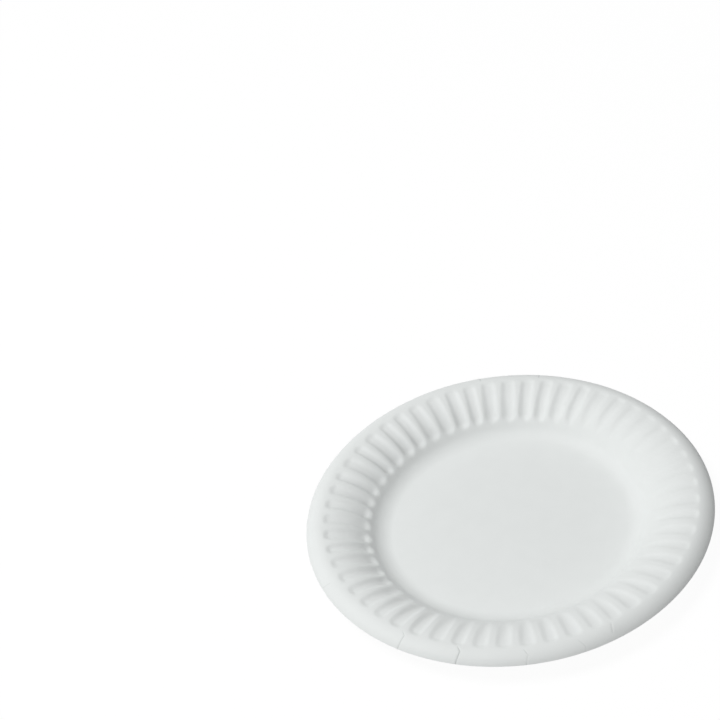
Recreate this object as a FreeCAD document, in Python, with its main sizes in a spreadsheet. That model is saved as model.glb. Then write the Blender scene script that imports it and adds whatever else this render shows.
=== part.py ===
"""Small round paper plate with a fluted rim, pressed from one sheet of board."""
import FreeCAD, Part
import math
import os
import Sketcher
from FreeCAD import Vector

NODE = "paper_plate"

# Sizes in millimetres and degrees. The lip's width is taken from the crest out to
# the edge, the flutes' widths at the crest, and their gap level, from the wall's
# steepest line to their inner ends.
DRIVING = {
    "plate_radius": 75.0,
    "board_thickness": 0.45,
    "floor_radius": 43.5,
    "corner_radius": 9.6,
    "wall_angle": 47.0,
    "lip_width": 5.8,
    "lip_radius": 7.0,
    "flute_count": 54,
    "flute_depth": 0.9,
    "flute_gap": 1.3,
    "flute_end_length": 2.2,
    "ridge_width": 1.3,
    "flank_width": 1.5,
}

# Straight runs that stand for each rounded stretch of the section
CORNER_RUNS = 4
CROWN_RUNS = 4
LIP_RUNS = 4

# Formulas for the sheet. The corner turns up to the wall's steepest line, where
# the crown takes over and turns back to level at the crest.
SLOPE = "Sizes.wall_angle * 1 deg"
CREST_RADIUS = "(Sizes.plate_radius - Sizes.lip_width)"
BOTH_RADII = f"({CREST_RADIUS} - Sizes.floor_radius) / sin({SLOPE})"
CROWN_RADIUS = f"({BOTH_RADII} - Sizes.corner_radius)"
CREST_HEIGHT = f"(Sizes.board_thickness + {BOTH_RADII} * (1 - cos({SLOPE})))"
DISH_TURN = f"asin(sin({SLOPE}) - Sizes.flute_gap / {CROWN_RADIUS})"
LIP_TURN = "asin(Sizes.lip_width / Sizes.lip_radius)"

# Edges this close together, in millimetres, are one seam
SEAM = 1e-4

doc = FreeCAD.newDocument(NODE)
sheet = doc.addObject("Spreadsheet::Sheet", "Sizes")
for row, (alias, value) in enumerate(DRIVING.items(), start=1):
    sheet.set(f"A{row}", alias)
    sheet.set(f"B{row}", str(value))
    sheet.setAlias(f"B{row}", alias)
doc.recompute()


def measure(formula):
    """The plain number that a formula on the sheet comes to."""
    value = sheet.evalExpression(formula)
    return float(getattr(value, "Value", value))


def corner_point(share, under):
    """A point of the hollow corner, this share of the way up from the floor."""
    radius = "(Sizes.corner_radius + Sizes.board_thickness)" if under else "Sizes.corner_radius"
    foot = "0" if under else "Sizes.board_thickness"
    turn = f"{share} * {SLOPE}"
    return f"Sizes.floor_radius + {radius} * sin({turn})", f"{foot} + {radius} * (1 - cos({turn}))"


def crest_point(radius, turn, under, inwards):
    """A point of the crown or the lip, turned this far from the crest."""
    inside = f"({radius} - Sizes.board_thickness)" if under else radius
    across = f"{CREST_RADIUS} {'-' if inwards else '+'} {inside} * sin({turn})"
    return across, f"{CREST_HEIGHT} - {radius} + {inside} * cos({turn})"


def dish_side(under):
    """One face of the dish: floor, corner, wall and the way up to the flutes."""
    middle = ("0", "0" if under else "Sizes.board_thickness")
    corner = [corner_point(k / CORNER_RUNS, under) for k in range(CORNER_RUNS + 1)]
    return [middle, *corner, crest_point(CROWN_RADIUS, DISH_TURN, under, True)]


def lip_side(under):
    """One face of the lip, rolled over from the crest to the edge."""
    return [crest_point("Sizes.lip_radius", f"{k / LIP_RUNS} * {LIP_TURN}", under, False)
            for k in range(LIP_RUNS + 1)]


def turned(name, side):
    """A stretch of the board, turned about the plate's axis."""
    body = doc.addObject("PartDesign::Body", name)
    upright = next(plane for plane in body.Origin.OriginFeatures if plane.Role == "XZ_Plane")
    sketch = body.newObject("Sketcher::SketchObject", f"{name}_section")
    sketch.AttachmentSupport = [(upright, "")]
    sketch.MapMode = "FlatFace"
    formulas = side(False) + side(True)[::-1]
    corners = [Vector(measure(across), measure(up), 0) for across, up in formulas]
    for start, end in zip(corners, corners[1:] + corners[:1]):
        sketch.addGeometry(Part.LineSegment(start, end))
    for line, (across, up) in enumerate(formulas):
        before = (line - 1) % len(corners)
        sketch.addConstraint(Sketcher.Constraint("Coincident", before, 2, line, 1))
        for kind, axis, formula, now in (("DistanceX", -2, across, corners[line].x),
                                         ("DistanceY", -1, up, corners[line].y)):
            if formula == "0":
                sketch.addConstraint(Sketcher.Constraint("PointOnObject", line, 1, axis))
            else:
                index = sketch.addConstraint(Sketcher.Constraint(kind, -1, 1, line, 1, now))
                sketch.setExpression(f"Constraints[{index}]", formula)
    turn = body.newObject("PartDesign::Revolution", f"{name}_turned")
    turn.Profile = sketch
    turn.ReferenceAxis = (sketch, ["V_Axis"])
    turn.Angle = 360
    doc.recompute()
    return body


board = measure("Sizes.board_thickness")
crest_radius = measure(CREST_RADIUS)
crest_height = measure(CREST_HEIGHT)
crown_radius = measure(CROWN_RADIUS)
depth = measure("Sizes.flute_depth")
flute_count = int(measure("Sizes.flute_count"))
half_pitch = math.pi / flute_count

# Where a flute's floor starts and stops along the crown, measured from the crest
flute_length = crown_radius * math.radians(measure(DISH_TURN))
first = measure("Sizes.flute_end_length")
last = flute_length - first
stations = [first + (last - first) * k / CROWN_RUNS for k in range(CROWN_RUNS + 1)]

# Half angles of a flute at its mouth and at its floor
mouth = half_pitch - measure("Sizes.ridge_width") / 2 / crest_radius
floor = mouth - measure("Sizes.flank_width") / crest_radius


def place(turn, reach, below):
    """A point of one pitch: turned from its middle, this far in from the crest
    along the section and this deep below the board's upper face."""
    lean = reach / crown_radius
    radius = crest_radius - (crown_radius - below) * math.sin(lean)
    across = radius * math.cos(half_pitch)
    height = crest_height - crown_radius + (crown_radius - below) * math.cos(lean)
    return Vector(across, across * math.tan(turn), height)


def flat(*corners):
    return Part.Face(Part.makePolygon([*corners, corners[0]]))


def flute_end(level, mouth_half, floor_half, edge, inner):
    """The flute's sloping end and the plain board beside it, up to the ring's edge."""
    edge_middle = place(0, edge, level)
    radius = edge_middle.x / math.cos(half_pitch)
    tips = [place(turn, edge, level) for turn in (-half_pitch, -floor_half, floor_half, half_pitch)]
    arc = Part.Arc(tips[0], Vector(radius, 0, edge_middle.z), tips[-1]).toShape()
    chord = [Part.makeLine(one, other) for one, other in zip(tips, tips[1:])]
    faces = [Part.Face(Part.Wire([arc, *chord[::-1]]))]
    faces.append(flat(tips[1], tips[2], place(floor_half, inner, level + depth),
                      place(-floor_half, inner, level + depth)))
    for side, tip, corner in ((-1, tips[1], tips[0]), (1, tips[2], tips[3])):
        brink = place(side * mouth_half, inner, level)
        faces.append(flat(corner, tip, brink, place(side * half_pitch, inner, level)))
        faces.append(flat(tip, brink, place(side * floor_half, inner, level + depth)))
    return faces


def one_flute(level, widening):
    """One face of the board over one pitch, level being the face's own depth."""
    mouth_half = mouth + widening
    floor_half = floor + widening
    faces = flute_end(level, mouth_half, floor_half, 0, first)
    faces += flute_end(level, mouth_half, floor_half, flute_length, last)
    for near, far in zip(stations, stations[1:]):
        floor_line = [[place(turn, reach, level + depth) for turn in (-floor_half, floor_half)]
                      for reach in (near, far)]
        faces.append(flat(*floor_line[0], *floor_line[1][::-1]))
        for side in (-1, 1):
            foot = [place(side * floor_half, reach, level + depth) for reach in (near, far)]
            brink = [place(side * mouth_half, reach, level) for reach in (near, far)]
            ridge = [place(side * half_pitch, reach, level) for reach in (near, far)]
            faces.append(flat(brink[0], brink[1], foot[0]))
            faces.append(flat(brink[1], foot[1], foot[0]))
            faces.append(flat(ridge[0], ridge[1], brink[1], brink[0]))
    return faces


def flute_ring():
    """Both faces of the board over every pitch of the ring."""
    fold = math.atan2(depth, measure("Sizes.flank_width"))
    widening = board * math.tan(fold / 2) / crest_radius
    pattern = one_flute(0, 0) + one_flute(board, widening)
    faces = []
    for k in range(flute_count):
        for face in pattern:
            copy = face.copy()
            copy.rotate(Vector(0, 0, 0), Vector(0, 0, 1), 360 * k / flute_count)
            faces.append(copy)
    return faces


def open_faces(body, joint):
    """A body's faces without the short one across the board at a joint."""
    corners = [(measure(across), measure(up)) for across, up in joint]

    def crosses(face):
        met = {k for vertex in face.Vertexes for k, corner in enumerate(corners)
               if math.dist((math.hypot(vertex.X, vertex.Y), vertex.Z), corner) < SEAM}
        return len(met) == len(corners)
    return [face for face in body.Shape.Faces if not crosses(face)]


dish = turned("dish", dish_side)
lip = turned("lip", lip_side)
faces = open_faces(dish, (dish_side(False)[-1], dish_side(True)[-1])) + flute_ring()
faces += open_faces(lip, (lip_side(False)[0], lip_side(True)[0]))
skin = Part.makeCompound(faces)
skin.sewShape(SEAM)
if len(skin.Shells) != 1 or not skin.Shells[0].isClosed():
    raise RuntimeError("the plate's faces do not close")
solid = Part.makeSolid(skin.Shells[0])
if solid.Volume < 0:
    solid.reverse()
plate = doc.addObject("Part::Feature", NODE)
plate.Label = NODE
plate.Shape = solid
doc.recompute()

for item in doc.Objects:
    if any(word in item.State for word in ("Invalid", "Error")):
        raise RuntimeError(f"{item.Name} did not build: {item.State}")
if plate.Shape.isNull() or not plate.Shape.isValid() or len(plate.Shape.Solids) != 1:
    raise RuntimeError("the plate is not one sound solid")

os.makedirs("parts", exist_ok=True)
plate.Shape.exportStep(f"parts/{NODE}.step")
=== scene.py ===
import math
import random

import bmesh
import bpy
from mathutils import Matrix, Vector


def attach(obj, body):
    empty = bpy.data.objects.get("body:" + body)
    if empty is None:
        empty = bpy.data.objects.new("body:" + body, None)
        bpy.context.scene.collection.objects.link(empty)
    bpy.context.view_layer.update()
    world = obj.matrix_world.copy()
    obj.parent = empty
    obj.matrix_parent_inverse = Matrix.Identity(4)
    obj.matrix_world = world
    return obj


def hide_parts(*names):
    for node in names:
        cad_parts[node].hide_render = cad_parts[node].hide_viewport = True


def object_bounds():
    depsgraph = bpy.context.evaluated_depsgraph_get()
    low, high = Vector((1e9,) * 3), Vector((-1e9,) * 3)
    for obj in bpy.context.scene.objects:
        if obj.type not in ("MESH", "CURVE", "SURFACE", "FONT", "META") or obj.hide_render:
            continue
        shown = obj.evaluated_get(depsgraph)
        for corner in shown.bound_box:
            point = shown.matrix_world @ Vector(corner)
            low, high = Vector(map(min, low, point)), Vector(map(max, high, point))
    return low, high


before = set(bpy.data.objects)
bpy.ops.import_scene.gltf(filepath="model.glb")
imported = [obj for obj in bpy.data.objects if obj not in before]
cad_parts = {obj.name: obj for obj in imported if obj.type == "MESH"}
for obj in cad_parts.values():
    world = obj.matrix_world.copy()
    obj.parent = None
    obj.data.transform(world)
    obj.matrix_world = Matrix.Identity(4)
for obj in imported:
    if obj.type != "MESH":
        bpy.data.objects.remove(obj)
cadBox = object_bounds()
print("frame loaded")

mm = 0.001


# The plate: one sheet of white board, pressed. Millimetres and degrees.
plate = {
    "boardThickness": 0.45,
    "floorRadius": 43.5,
    "cornerRadius": 9.6,
    "wallSlope": 47.5,
    "crestRadius": 68.9,
    "lipRadius": 7.3,
    "fluteCount": 54,
    "fluteDepth": 0.69,  # at mid-length; shallower outside, deeper inside
    "fluteDeepening": 0.26,
    "fluteOuterLead": -0.1,  # how far past the crest a flute starts
    "fluteInnerRadius": 51.3,
    "outerEndLength": 1.55,  # how long a flute takes to reach its depth
    "innerEndLength": 3.2,
    "outerNarrowing": 0.24,  # a flute is this much narrower at its outer end
    "outerSharpness": 3.0,  # higher gives a wider floor and steeper flanks
    "innerSharpness": 2.3,
    "stepsPerFlute": 16,
    "floorRings": 6,
    "cornerRings": 9,
    "crownRings": 25,
    "lipRings": 13,
    "mergeDistance": 0.001,
    "sharpAngle": 50.0,  # only the board's cut edge is sharper than this

    # How unevenly the press and the board's springing back left the flutes
    "seed": 7,
    "ridgeDrift": 0.075,  # of a flute's pitch
    "ridgeTilt": 0.09,
    "depthChange": 0.16,  # of a flute's depth
    "depthLean": 0.28,  # of a flute's depth: more on one side, less on the other
    "deepestAngle": 172.0,
    "leadLean": 1.0,  # flutes reach this much further out on one side
    "furthestAngle": 320.0,
    "softEndLength": 20.0,  # inner ends fade out over this length on one side
    "softEndAngle": 315.0,
    "edgeWave": 0.12,  # how far the lip's edge rises and falls
    "edgeWaves": [(3, 0.6, 1.0), (7, 2.1, 0.6)],  # waves in a round, phase and share
    "edgeLean": 0.5,  # how far the edge stands up at one side and down at the other
    "highestAngle": 255.0,

    # Fine folds in the lip, where the flattened board has gathered. Each has its strength, which
    # sets both its relief and the painted shade along its line, and then the radius and the angle
    # where it starts, bends and ends.
    "folds": [
        (0.6, (68.9, -130.8), (70.6, -129.0), (75.0, -129.4)),
        (0.9, (69.0, -113.4), (71.4, -112.1), (75.0, -112.8)),
        (0.5, (69.8, -95.1), (72.4, -93.8), (75.0, -94.5)),
        (0.3, (70.8, -80.1), (73.8, -78.6), (75.0, -79.0)),
        (0.7, (69.4, -69.0), (71.2, -69.8), (72.4, -70.2)),
        (0.2, (71.0, -160.1), (73.0, -160.6), (75.0, -161.3)),
        (0.4, (69.2, 88.8), (70.8, 88.8), (74.0, 88.7)),
        (0.4, (69.2, 69.4), (70.4, 69.7), (73.0, 69.8)),
    ],
    "foldFadeLength": 1.4,
    "foldHalfWidth": 0.2,
    "foldDepth": 0.12,
    "foldOverlap": 0.12,  # one side of the fold stands this much above the other
    "foldOverlapReach": 3.5,
    "foldOverlapEnd": 7.0,
    "gatherReach": 3.5,  # mesh columns draw in to the fold from this far
    "gatherPower": 1.7,
}

slope = math.radians(plate["wallSlope"])
bothRadii = (plate["crestRadius"] - plate["floorRadius"]) / math.sin(slope)
crownRadius = bothRadii - plate["cornerRadius"]
crestHeight = plate["boardThickness"] + bothRadii * (1 - math.cos(slope))
plateRadius = (cadBox[1][0] - cadBox[0][0]) / 2 / mm
lipTurn = math.asin((plateRadius - plate["crestRadius"]) / plate["lipRadius"])
fluteTurn = math.asin((plate["crestRadius"] - plate["fluteInnerRadius"]) / crownRadius)
fluteLength = crownRadius * fluteTurn


def sectionPoints():
    # Upper face of the board, from the middle out to the lip's edge
    points = []
    for k in range(plate["floorRings"]):
        points.append((plate["floorRadius"] * k / plate["floorRings"], plate["boardThickness"]))
    for k in range(plate["cornerRings"]):
        turn = slope * k / plate["cornerRings"]
        points.append((plate["floorRadius"] + plate["cornerRadius"] * math.sin(turn),
                       plate["boardThickness"] + plate["cornerRadius"] * (1 - math.cos(turn))))
    for k in range(plate["crownRings"]):
        turn = slope * (1 - k / plate["crownRings"])
        points.append((plate["crestRadius"] - crownRadius * math.sin(turn),
                       crestHeight - crownRadius * (1 - math.cos(turn))))
    for k in range(plate["lipRings"]):
        turn = lipTurn * k / (plate["lipRings"] - 1)
        points.append((plate["crestRadius"] + plate["lipRadius"] * math.sin(turn),
                       crestHeight - plate["lipRadius"] * (1 - math.cos(turn))))
    return points


def leanAt(radius):
    # Turn of the section from the crest, inwards positive, and the way along it
    if radius > plate["crestRadius"]:
        lean = -math.asin(min(1.0, (radius - plate["crestRadius"]) / plate["lipRadius"]))
        return lean, plate["lipRadius"] * lean
    lean = math.asin(min(1.0, (plate["crestRadius"] - radius) / crownRadius))
    return lean, crownRadius * lean


def smooth(value):
    # From 0 to 1, with a gentle start and end
    value = min(1.0, max(0.0, value))
    return value * value * (3 - 2 * value)


def between(start, end, share):
    return start + (end - start) * share


def facing(angle, degrees):
    # 1 on this side of the plate, -1 on the far one
    return math.cos(angle - math.radians(degrees))


def makeFluteRows():
    chance = random.Random(plate["seed"])
    count = plate["fluteCount"]
    return {
        "drift": [chance.uniform(-1, 1) * plate["ridgeDrift"] for _ in range(count)],
        "tilt": [chance.uniform(-1, 1) * plate["ridgeTilt"] for _ in range(count)],
        "depth": [1 + chance.uniform(-1, 1) * plate["depthChange"] for _ in range(count)],
    }


fluteRows = makeFluteRows()


def ridgeLine(index, along):
    # Where the ridge after flute number index runs, counted in flutes
    k = index % plate["fluteCount"]
    tilted = fluteRows["tilt"][k] * (along / fluteLength - 0.5)
    return index + 0.5 + fluteRows["drift"][k] + tilted


def fluteDepthAt(angle, along):
    # A flute is a long rounded hollow with narrow ridges left between
    fromStart = along + plate["fluteOuterLead"]
    fromStart += plate["leadLean"] * facing(angle, plate["furthestAngle"])
    fromEnd = fluteLength - along
    if fromStart <= 0 or fromEnd <= 0:
        return 0.0

    # The two ridges beside this place, and how far across it lies, from -1 to 1
    place = angle / (2 * math.pi) * plate["fluteCount"]
    index = round(place)
    if place > ridgeLine(index, along):
        index += 1
    elif place < ridgeLine(index - 1, along):
        index -= 1
    left, right = ridgeLine(index - 1, along), ridgeLine(index, along)
    across = 2 * (place - left) / (right - left) - 1

    # How far out from the hollow's middle line this is: 1 and more is outside
    soft = smooth(0.5 + facing(angle, plate["softEndAngle"]))
    innerEnd = between(plate["innerEndLength"], plate["softEndLength"], soft)
    pastEnd = max(0.0, 1 - fromStart / plate["outerEndLength"], 1 - fromEnd / innerEnd)
    share = smooth(along / fluteLength)
    width = 1 - plate["outerNarrowing"] * (1 - share)
    reach = min(1.0, math.hypot(across / width, pastEnd))

    sharpness = between(plate["outerSharpness"], plate["innerSharpness"], share)
    depth = plate["fluteDepth"] * fluteRows["depth"][index % plate["fluteCount"]]
    depth *= 1 + plate["fluteDeepening"] * (2 * along / fluteLength - 1)
    depth *= 1 + plate["depthLean"] * facing(angle, plate["deepestAngle"])
    return depth * (1 - reach ** sharpness) ** 2


def foldOffset(line, angle, radius):
    # Signed distance from the fold's bent line
    start, bend, end = line[1:]
    near, far = (start, bend) if radius < bend[0] else (bend, end)
    share = (radius - near[0]) / (far[0] - near[0])
    turn = angle - math.radians(between(near[1], far[1], share))
    return ((turn + math.pi) % (2 * math.pi) - math.pi) * radius


def gatherColumns(angle, radius):
    # Draws the mesh's columns in to each fold, so that its line is fine
    reach = plate["gatherReach"]
    for line in plate["folds"]:
        startRadius = line[1][0]
        fade = smooth((radius - startRadius) / plate["foldFadeLength"] + 1)
        offset = foldOffset(line, angle, radius)
        if fade > 0 and abs(offset) < reach:
            drawn = reach * (abs(offset) / reach) ** plate["gatherPower"]
            return angle + fade * (math.copysign(drawn, offset) - offset) / radius
    return angle


def foldReliefAt(angle, radius):
    # How far the fold lies below the lip, and how much painted shade darkens its line
    relief, shown = 0.0, 0.0
    for line in plate["folds"]:
        strength, startRadius, endRadius = line[0], line[1][0], line[3][0]
        fade = smooth((radius - startRadius) / plate["foldFadeLength"])
        fade *= strength * smooth((endRadius - radius) / plate["foldFadeLength"] + 1)
        offset = foldOffset(line, angle, radius)
        if fade == 0 or abs(offset) > plate["foldOverlapEnd"]:
            continue
        groove = fade * math.exp(-(offset / plate["foldHalfWidth"]) ** 2)
        shown += groove
        relief += groove * plate["foldDepth"]
        if offset > 0:
            layer = math.exp(-(offset / plate["foldOverlapReach"]) ** 2)
            relief -= fade * plate["foldOverlap"] * layer
    return relief, shown


def edgeRise(angle, radius):
    # The lip isn't quite level all the way round: most at the edge, nothing at the crest
    lipWidth = plateRadius - plate["crestRadius"]
    share = max(0.0, (radius - plate["crestRadius"]) / lipWidth) ** 2
    waves = plate["edgeWaves"]
    wave = sum(part * math.sin(count * angle + phase) for count, phase, part in waves)
    wave = plate["edgeWave"] * wave / sum(part for count, phase, part in waves)
    return share * (wave + plate["edgeLean"] * facing(angle, plate["highestAngle"]))


def buildPlate():
    steps = plate["fluteCount"] * plate["stepsPerFlute"]
    bm = bmesh.new()
    points = sectionPoints()
    row = [bm.verts.new((radius * mm, 0, height * mm)) for radius, height in points]
    outline = [bm.edges.new(pair) for pair in zip(row, row[1:])]
    bmesh.ops.spin(bm, geom=row + outline, cent=(0, 0, 0), axis=(0, 0, 1), dvec=(0, 0, 0),
                   angle=2 * math.pi, steps=steps, use_merge=True, use_duplicate=False)
    bmesh.ops.remove_doubles(bm, verts=bm.verts, dist=plate["mergeDistance"] * mm)
    bmesh.ops.recalc_face_normals(bm, faces=bm.faces)
    if bm.faces[0].normal.z < 0:
        bmesh.ops.reverse_faces(bm, faces=bm.faces)
    print("section turned:", len(bm.faces), "faces")

    # How much painted shade each vertex gets along the folds' lines
    foldShadeLayer = bm.verts.layers.float.new("fold")
    for vert in bm.verts:
        radius = math.hypot(vert.co.x, vert.co.y) / mm
        if radius < plate["floorRadius"]:
            continue
        angle = gatherColumns(math.atan2(vert.co.y, vert.co.x), radius)
        lean, along = leanAt(radius)
        # The second value is the painted shade along a fold's line
        relief, vert[foldShadeLayer] = foldReliefAt(angle, radius)
        below = fluteDepthAt(angle, along) + relief
        radius += math.sin(lean) * below
        height = vert.co.z / mm - math.cos(lean) * below + edgeRise(angle, radius)
        vert.co = Vector((radius * math.cos(angle), radius * math.sin(angle), height)) * mm
    bm.normal_update()
    print("flutes and folds pressed")

    bmesh.ops.solidify(bm, geom=bm.faces, thickness=plate["boardThickness"] * mm)
    mesh = bpy.data.meshes.new("pressedPlate")
    bm.to_mesh(mesh)
    bm.free()
    mesh.shade_smooth()
    mesh.set_sharp_from_angle(angle=math.radians(plate["sharpAngle"]))
    piece = bpy.data.objects.new("pressedPlate", mesh)
    bpy.context.scene.collection.objects.link(piece)
    print("board given its thickness:", len(mesh.polygons), "faces")
    return piece


def linearColour(code):
    # sRGB hex to the linear values that the shaders take
    linear = []
    for k in (1, 3, 5):
        part = int(code[k:k + 2], 16) / 255
        linear.append(part / 12.92 if part <= 0.04045 else ((part + 0.055) / 1.055) ** 2.4)
    return linear + [1.0]


def addNode(tree, kind, settings=None, inputs=None):
    # An input goes by its name or number, and is a plain value or another node's output
    node = tree.nodes.new(kind)
    for name, value in (settings or {}).items():
        setattr(node, name, value)
    for name, value in (inputs or {}).items():
        if isinstance(value, bpy.types.NodeSocket):
            tree.links.new(value, node.inputs[name])
        else:
            node.inputs[name].default_value = value
    return node


# Bleached paperboard with a thin clay coating, pressed warm: an even, cool
# white with a soft sheen, faint clouding and a fine, barely raised grain.
# Sizes in millimetres.
coatedBoard = {
    "colour": "#e9eceb",
    "cloudColour": "#e5e8e7",
    # painted shade: the darker colour laid along the folds' lines
    "foldShadeColour": "#b9bdbc",
    "cloudSize": 9.0,
    "cloudDetail": 2.0,
    "grainSize": 0.8,  # real fibres are finer; drawn coarse enough to show
    "grainDetail": 3.0,
    "grainHeight": 0.012,
    "roughness": 0.68,
    "ior": 1.47,
}


def coatedBoardMaterial():
    # A colour mix has its factor at input 0 and its two colours at 6 and 7
    material = bpy.data.materials.new("coatedPaperboard")
    material.use_nodes = True
    tree = material.node_tree
    tree.nodes.clear()
    place = addNode(tree, "ShaderNodeTexCoord")
    clouds = addNode(tree, "ShaderNodeTexNoise", inputs={
        "Vector": place.outputs["Object"],
        "Scale": 1 / (coatedBoard["cloudSize"] * mm),
        "Detail": coatedBoard["cloudDetail"]})
    body = addNode(tree, "ShaderNodeMix", {"data_type": "RGBA"}, {
        0: clouds.outputs["Fac"],
        6: linearColour(coatedBoard["colour"]),
        7: linearColour(coatedBoard["cloudColour"])})
    # Painted shade: the folds' lines are darkened towards the fold shade colour
    fold = addNode(tree, "ShaderNodeAttribute", {"attribute_name": "fold"})
    colour = addNode(tree, "ShaderNodeMix", {"data_type": "RGBA"}, {
        0: fold.outputs["Fac"],
        6: body.outputs[2],
        7: linearColour(coatedBoard["foldShadeColour"])})
    grain = addNode(tree, "ShaderNodeTexNoise", inputs={
        "Vector": place.outputs["Object"],
        "Scale": 1 / (coatedBoard["grainSize"] * mm),
        "Detail": coatedBoard["grainDetail"]})
    bump = addNode(tree, "ShaderNodeBump", inputs={
        "Height": grain.outputs["Fac"],
        "Distance": coatedBoard["grainHeight"] * mm,
        "Strength": 1.0})
    shader = addNode(tree, "ShaderNodeBsdfPrincipled", inputs={
        "Base Color": colour.outputs[2], "Roughness": coatedBoard["roughness"],
        "IOR": coatedBoard["ior"], "Normal": bump.outputs["Normal"]})
    addNode(tree, "ShaderNodeOutputMaterial", inputs={"Surface": shader.outputs["BSDF"]})
    return material


pressedPlate = buildPlate()
pressedPlate.data.materials.append(coatedBoardMaterial())
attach(pressedPlate, "root")
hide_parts("paper_plate")
print("plate finished")


# The floor and the light, in metres, watts and degrees. The background is
# white to the camera.
studio = {
    "floorSize": 6.0,
    "floorGap": 0.02,  # millimetres below the plate, so that the two faces never meet
    "floorColour": "#f2f2f2",
    "floorWhite": 0.95,  # how much of the white the camera sees doesn't take shadow
    "floorWhiteStrength": 1.013,  # makes up for the share that is lit paper
    "backdropColour": "#ffffff",
    "worldColour": "#ffffff",
    "worldStrength": 0.12,
    "keyPower": 22.2,
    "keySize": 0.8,
    "keyDistance": 1.6,
    "keyAzimuth": 180.0,
    "keyElevation": 65.0,
}


def seenDirectly(tree):
    # 1 for what the camera, a reflection or clear material sees, 0 for light
    path = addNode(tree, "ShaderNodeLightPath")
    either = addNode(tree, "ShaderNodeMath", {"operation": "MAXIMUM"}, {
        0: path.outputs["Is Camera Ray"], 1: path.outputs["Is Glossy Ray"]})
    seen = addNode(tree, "ShaderNodeMath", {"operation": "MAXIMUM"}, {
        0: either.outputs[0], 1: path.outputs["Is Transmission Ray"]})
    return seen.outputs[0]


def buildFloor():
    bm = bmesh.new()
    bmesh.ops.create_grid(bm, x_segments=1, y_segments=1, size=studio["floorSize"] / 2)
    bmesh.ops.translate(bm, verts=bm.verts, vec=(0, 0, -studio["floorGap"] * mm))
    mesh = bpy.data.meshes.new("studioFloor")
    bm.to_mesh(mesh)
    bm.free()
    floor = bpy.data.objects.new("studioFloor", mesh)
    bpy.context.scene.collection.objects.link(floor)
    material = bpy.data.materials.new("whiteStudioPaper")
    material.use_nodes = True
    tree = material.node_tree
    tree.nodes.clear()
    matt = addNode(tree, "ShaderNodeBsdfDiffuse", inputs={
        "Color": linearColour(studio["floorColour"])})
    white = addNode(tree, "ShaderNodeEmission", inputs={"Strength": studio["floorWhiteStrength"]})
    share = addNode(tree, "ShaderNodeMath", {"operation": "MULTIPLY"}, {
        0: seenDirectly(tree), 1: studio["floorWhite"]})
    mixed = addNode(tree, "ShaderNodeMixShader", inputs={
        0: share.outputs[0], 1: matt.outputs[0], 2: white.outputs[0]})
    addNode(tree, "ShaderNodeOutputMaterial", inputs={"Surface": mixed.outputs[0]})
    mesh.materials.append(material)


def lightStudio():
    world = bpy.data.worlds.new("studio")
    world.use_nodes = True
    tree = world.node_tree
    tree.nodes.clear()
    room = addNode(tree, "ShaderNodeBackground", inputs={
        "Color": linearColour(studio["worldColour"]), "Strength": studio["worldStrength"]})
    backdrop = addNode(tree, "ShaderNodeBackground", inputs={
        "Color": linearColour(studio["backdropColour"]), "Strength": 1.0})
    mixed = addNode(tree, "ShaderNodeMixShader", inputs={
        0: seenDirectly(tree), 1: room.outputs[0], 2: backdrop.outputs[0]})
    addNode(tree, "ShaderNodeOutputWorld", inputs={"Surface": mixed.outputs[0]})
    bpy.context.scene.world = world

    lamp = bpy.data.lights.new("keyLight", "AREA")
    lamp.shape = "DISK"
    lamp.size = studio["keySize"]
    lamp.energy = studio["keyPower"]
    key = bpy.data.objects.new("keyLight", lamp)
    turn, rise = math.radians(studio["keyAzimuth"]), math.radians(studio["keyElevation"])
    level = math.cos(rise)
    toLamp = Vector((math.cos(turn) * level, math.sin(turn) * level, math.sin(rise)))
    key.location = toLamp * studio["keyDistance"]
    key.rotation_euler = toLamp.to_track_quat("Z", "Y").to_euler()
    bpy.context.scene.collection.objects.link(key)


buildFloor()
lightStudio()
print("studio lit")


# The camera, in millimetres and degrees. Where it stands is worked out from how
# the plate lies in the view.
camera = {
    "lens": 80.3,
    "sensor": 36.0,
    "elevation": 38.76,
    "roll": 11.55,
    "across": 53.95,  # millimetres from the view's middle to the plate's
    "up": -53.75,
    "distance": 591.6,
    "aimHeight": 9.24,  # the height in the plate that these are measured from
    "plateTurn": -1.75,  # how far the flutes are turned from the plate's own axes
    "nearest": 10.0,  # what is nearer or further than these isn't drawn
    "furthest": 50000.0,
}


def placeCamera():
    data = bpy.data.cameras.new("photoCamera")
    data.lens = camera["lens"]
    data.sensor_width = camera["sensor"]
    data.sensor_fit = "HORIZONTAL"
    data.clip_start = camera["nearest"] * mm
    data.clip_end = camera["furthest"] * mm
    data.dof.use_dof = False
    plateToCamera = (
        Matrix.Translation(Vector((camera["across"], camera["up"], -camera["distance"])) * mm)
        @ Matrix.Rotation(math.radians(camera["roll"]), 4, "Z")
        @ Matrix.Rotation(-math.radians(90 - camera["elevation"]), 4, "X")
        @ Matrix.Translation((0, 0, -camera["aimHeight"] * mm))
        @ Matrix.Rotation(math.radians(camera["plateTurn"]), 4, "Z"))
    view = bpy.data.objects.new("photoCamera", data)
    view.matrix_world = plateToCamera.inverted()
    bpy.context.scene.collection.objects.link(view)
    bpy.context.scene.camera = view


placeCamera()
bpy.context.scene.view_settings.view_transform = "Standard"
print("camera placed")
